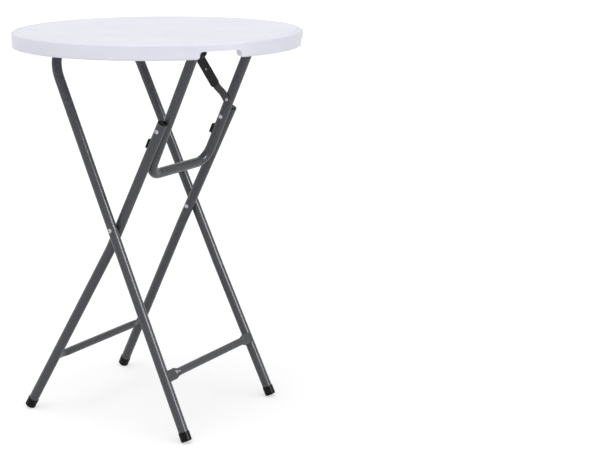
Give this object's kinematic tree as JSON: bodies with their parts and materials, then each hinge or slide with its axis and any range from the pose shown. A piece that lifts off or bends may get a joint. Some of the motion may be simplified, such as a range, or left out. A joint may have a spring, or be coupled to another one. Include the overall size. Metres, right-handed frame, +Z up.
{
  "type": "folding cocktail table",
  "caption": "Round folding cocktail table: blow-moulded top on crossed tube legs, with a locking elbow frame and a folding side stay.",
  "frame": {"origin": "on the floor under the centre of the top", "axes": "+Z up; +Y along the hinge and scissor axes; +X towards the side the legs fold to"},
  "size_m": [0.8, 0.8, 1.1],
  "materials": {
    "top_plastic": "fine-textured white blow-moulded plastic",
    "frame_paint": "satin dark grey powder coat",
    "black_plastic": "satin black plastic",
    "black_steel": "black painted pressed steel",
    "zinc_steel": "bright zinc plate"
  },
  "bodies": {
    "tabletop": {"tabletop": "top_plastic", "outer_saddle_front": "black_steel", "outer_saddle_back": "black_steel", "upper_saddle_front": "black_steel", "upper_saddle_back": "black_steel", "saddle_screws": "zinc_steel", "stay_bracket": "black_steel", "stay_bracket_screws": "zinc_steel", "stay_bracket_pin": "zinc_steel"},
    "outer_frame": {"outer_frame_tube": "frame_paint", "outer_crossbar": "frame_paint", "outer_foot_front": "black_plastic", "outer_foot_back": "black_plastic", "scissor_rivets": "zinc_steel", "scissor_washers": "black_plastic"},
    "lower_legs": {"lower_leg_front": "frame_paint", "lower_leg_back": "frame_paint", "lower_crossbar": "frame_paint", "lower_foot_front": "black_plastic", "lower_foot_back": "black_plastic", "leg_plug_front": "black_plastic", "leg_plug_back": "black_plastic", "elbow_rivet_heads": "zinc_steel"},
    "upper_frame": {"upper_frame_tube": "frame_paint", "upper_hinge_tube": "frame_paint", "elbow_rivet_tails": "zinc_steel", "strap_rivet_shank": "zinc_steel", "stop_clip_front": "black_plastic", "stop_clip_back": "black_plastic"},
    "stay_link": {"stay_link": "black_steel", "stay_middle_rivet": "zinc_steel"},
    "stay_strap": {"stay_strap": "black_steel", "strap_rivet_head": "zinc_steel"}
  },
  "joints": [
    {"name": "outer_fold", "type": "hinge", "parent": "tabletop", "child": "outer_frame", "pos_m": [-0.24147, 0, 1.06], "axis": [0, -1, 0], "range_deg": [0, 59.99]},
    {"name": "lower_fold", "type": "hinge", "parent": "outer_frame", "child": "lower_legs", "pos_m": [-0.02544, 0, 0.56551], "axis": [0, -1, 0], "range_deg": [0, 46.15]},
    {"name": "upper_fold", "type": "hinge", "parent": "tabletop", "child": "upper_frame", "pos_m": [0.21713, 0, 1.06], "axis": [0, 1, 0], "range_deg": [0, 65.15]},
    {"name": "stay_swing", "type": "hinge", "parent": "tabletop", "child": "stay_link", "pos_m": [0.02904, 0, 1.06], "axis": [0, 1, 0], "range_deg": [0, 78.63]},
    {"name": "strap_fold", "type": "hinge", "parent": "stay_link", "child": "stay_strap", "pos_m": [0.08405, 0, 0.98257], "axis": [0, -1, 0], "range_deg": [0, 176.61]}
  ],
  "couplings": [
    {"joint": "lower_fold", "follows": "outer_fold", "ratio": 0.76836},
    {"joint": "upper_fold", "follows": "outer_fold", "ratio": 1.0851},
    {"joint": "stay_swing", "follows": "outer_fold", "ratio": 1.3098},
    {"joint": "strap_fold", "follows": "outer_fold", "ratio": 2.943}
  ]
}
